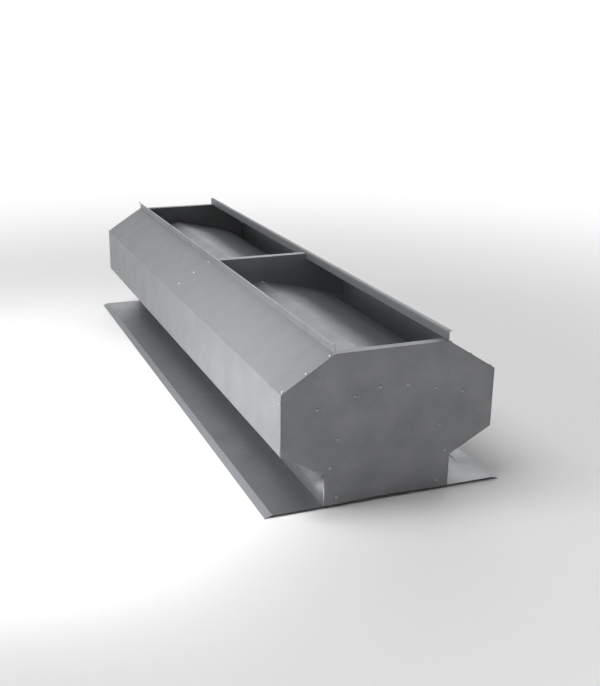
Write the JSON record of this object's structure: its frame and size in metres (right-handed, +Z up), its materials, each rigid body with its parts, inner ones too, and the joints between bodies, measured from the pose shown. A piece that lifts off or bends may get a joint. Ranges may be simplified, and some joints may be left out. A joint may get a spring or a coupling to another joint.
{
  "type": "static ridge vent",
  "caption": "Low-profile static ridge vent of folded bare galvanised sheet: two windbands, closed end plates, a bulkhead, a gable rain cap over the throat, and flat base flashings.",
  "frame": {"origin": "floor level under the middle of the vent", "axes": "+Z up, +Y along the ridge, +X across it"},
  "size_m": [1.0006, 3.048, 0.65],
  "materials": {
    "galvanised_sheet": "bare galvanised, semi-gloss"
  },
  "bodies": {
    "root": {"windband_left": "galvanised_sheet", "windband_right": "galvanised_sheet", "end_plate_front": "galvanised_sheet", "end_plate_rear": "galvanised_sheet", "bulkhead": "galvanised_sheet", "rain_cap": "galvanised_sheet", "base_flashing_left": "galvanised_sheet", "base_flashing_right": "galvanised_sheet", "throat_wall_left": "galvanised_sheet", "throat_wall_right": "galvanised_sheet"}
  },
  "joints": []
}
